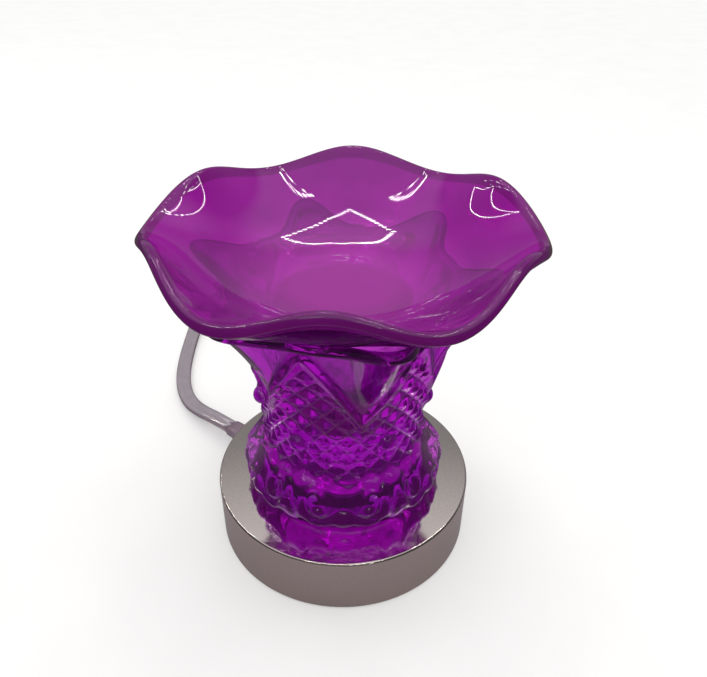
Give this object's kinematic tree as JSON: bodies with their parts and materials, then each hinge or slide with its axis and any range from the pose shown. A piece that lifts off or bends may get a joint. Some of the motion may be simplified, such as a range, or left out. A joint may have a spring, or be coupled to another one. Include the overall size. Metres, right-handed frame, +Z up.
{
  "type": "wax melt warmer",
  "caption": "Table-top wax melt warmer: crimped glass dish resting on a flared glass body over a reflector lamp, on a round plated touch base with a clear cord.",
  "frame": {"origin": "middle of the underside of the foot pad, where the warmer rests on a table", "axes": "+Z up along the warmer's middle line, -Y towards the viewer of the picture, +X to the viewer's right"},
  "size_m": [0.1575, 0.2959, 0.1362],
  "materials": {
    "purple_glass": "glossy",
    "plated_base": "polished satin nickel",
    "plain_steel": "zinc plated",
    "foot_felt": "felt",
    "yellow_brass": "plain",
    "soft_rubber": "matte",
    "white_ceramic": "matte",
    "silvered_glass": "silvered inside",
    "clear_glass": "clear",
    "dark_tungsten": "dull",
    "black_plastic": "matte",
    "foam_tape": "foam",
    "green_board": "resist",
    "dark_component": "moulded",
    "milky_plastic": "translucent",
    "white_lead": "insulated",
    "clear_cord": "clear tinted"
  },
  "bodies": {
    "stand": {"glass_body": "purple_glass", "base_shell": "plated_base", "base_plate": "plain_steel", "foot_pad": "foot_felt", "base_screws": "plain_steel", "threaded_nipple": "yellow_brass", "nipple_nut_upper": "yellow_brass", "nipple_nut_lower": "yellow_brass", "body_gasket_lower": "soft_rubber", "body_gasket_upper": "soft_rubber", "clamp_washer": "plain_steel", "lock_washer": "plain_steel", "socket_bracket": "plain_steel", "lamp_holder": "white_ceramic", "holder_contacts": "yellow_brass", "socket_screws": "plain_steel", "touch_module_case": "black_plastic", "touch_module_lid": "black_plastic", "module_tape": "foam_tape", "touch_circuit_board": "green_board", "board_components": "dark_component", "triac": "black_plastic", "block_tape": "foam_tape", "terminal_block": "milky_plastic", "terminal_screws": "plain_steel", "sense_terminal": "yellow_brass", "mains_leads": "white_lead", "lamp_leads": "white_lead", "module_leads": "white_lead", "sense_lead": "white_lead", "strain_relief": "clear_cord", "power_cord_run": "clear_cord", "power_cord_coil": "clear_cord", "cord_tie": "black_plastic", "plug_body": "clear_cord", "plug_blades": "yellow_brass"},
    "dish": {"wax_dish": "purple_glass"},
    "lamp": {"lamp_base": "white_ceramic", "lamp_pins": "plain_steel", "lamp_reflector": "silvered_glass", "lamp_front_glass": "clear_glass", "lamp_capsule": "clear_glass", "lamp_filament": "dark_tungsten"}
  },
  "joints": [
    {"name": "dish_lift", "type": "slide", "parent": "stand", "child": "dish", "axis": [0, 0, 1], "range_m": [0, 0.06]},
    {"name": "lamp_twist", "type": "hinge", "parent": "stand", "child": "lamp", "pos_m": [0, 0, 0.05], "axis": [0, 0, 1], "range_deg": [0, 25]}
  ]
}
